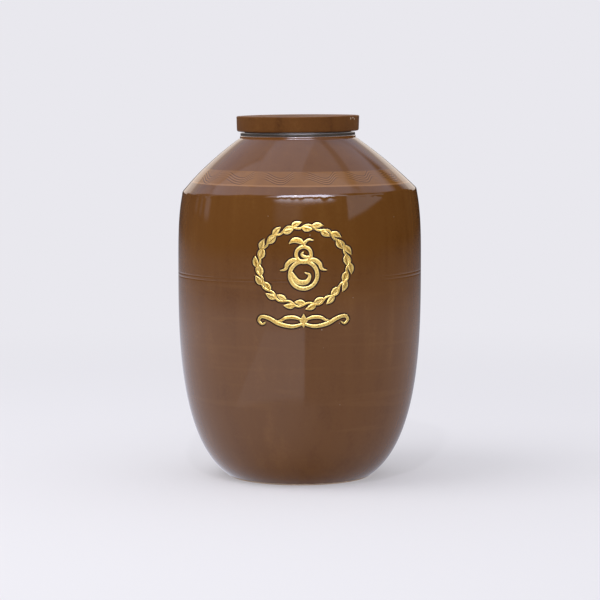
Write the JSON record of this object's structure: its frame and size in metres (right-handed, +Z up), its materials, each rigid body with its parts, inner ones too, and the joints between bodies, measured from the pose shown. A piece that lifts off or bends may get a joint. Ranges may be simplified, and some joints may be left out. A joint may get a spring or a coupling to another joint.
{
  "type": "lidded stoneware wine jar",
  "caption": "Large brown-glazed stoneware wine jar with a conical shoulder, short neck, flat disc lid on a sealing ring, and a round gold ornament.",
  "frame": {"origin": "centre of the foot, on the surface the jar stands on", "axes": "+Z up along the jar's axis; -Y is the front, which carries the gold ornament; +X is to the right of someone who faces the front"},
  "size_m": [0.3364, 0.3372, 0.5],
  "materials": {
    "jar_glaze": "glossy transparent brown glaze over stoneware, slightly wavy, lighter over the combed band",
    "lid_glaze": "the same brown glaze, thinner and a little duller, worn at the upper edge",
    "silicone": "matt translucent silicone",
    "gold": "mottled fired-on gold, semi-matt, with a darker outline"
  },
  "bodies": {
    "jar": {"jar_lower_section": "jar_glaze", "jar_upper_section": "jar_glaze", "gold_vine_ring": "gold", "gold_gourd": "gold", "gold_cloud_scroll": "gold"},
    "seal_ring": {"seal_ring": "silicone"},
    "lid": {"lid": "lid_glaze"}
  },
  "joints": [
    {"name": "seal_lift", "type": "slide", "parent": "jar", "child": "seal_ring", "axis": [0, 0, 1], "range_m": [0, 0.06]},
    {"name": "lid_lift", "type": "slide", "parent": "seal_ring", "child": "lid", "axis": [0, 0, 1], "range_m": [0, 0.12]}
  ]
}
